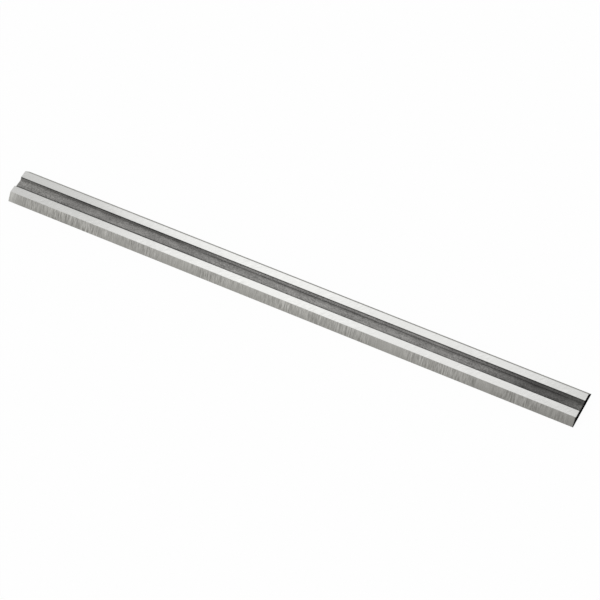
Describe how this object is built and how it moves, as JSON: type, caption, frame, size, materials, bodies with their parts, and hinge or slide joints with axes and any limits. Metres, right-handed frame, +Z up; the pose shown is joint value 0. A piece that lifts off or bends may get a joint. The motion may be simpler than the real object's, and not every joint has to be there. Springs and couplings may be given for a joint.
{
  "type": "reversible planer knife",
  "caption": "Slim flat knife strip with a ground cutting edge along both long sides and a trapezoid locating groove along the middle of its upper face.",
  "frame": {"origin": "middle of the flat rake face, half way along the knife and half way between its two cutting edges", "axes": "+X along the cutting edges, +Y across the knife from one cutting edge to the other, +Z up from the rake face through the lands and the groove"},
  "size_m": [0.082, 0.0054, 0.0011],
  "materials": {
    "ground_carbide": "satin"
  },
  "bodies": {
    "root": {"planer_knife": "ground_carbide"}
  },
  "joints": []
}
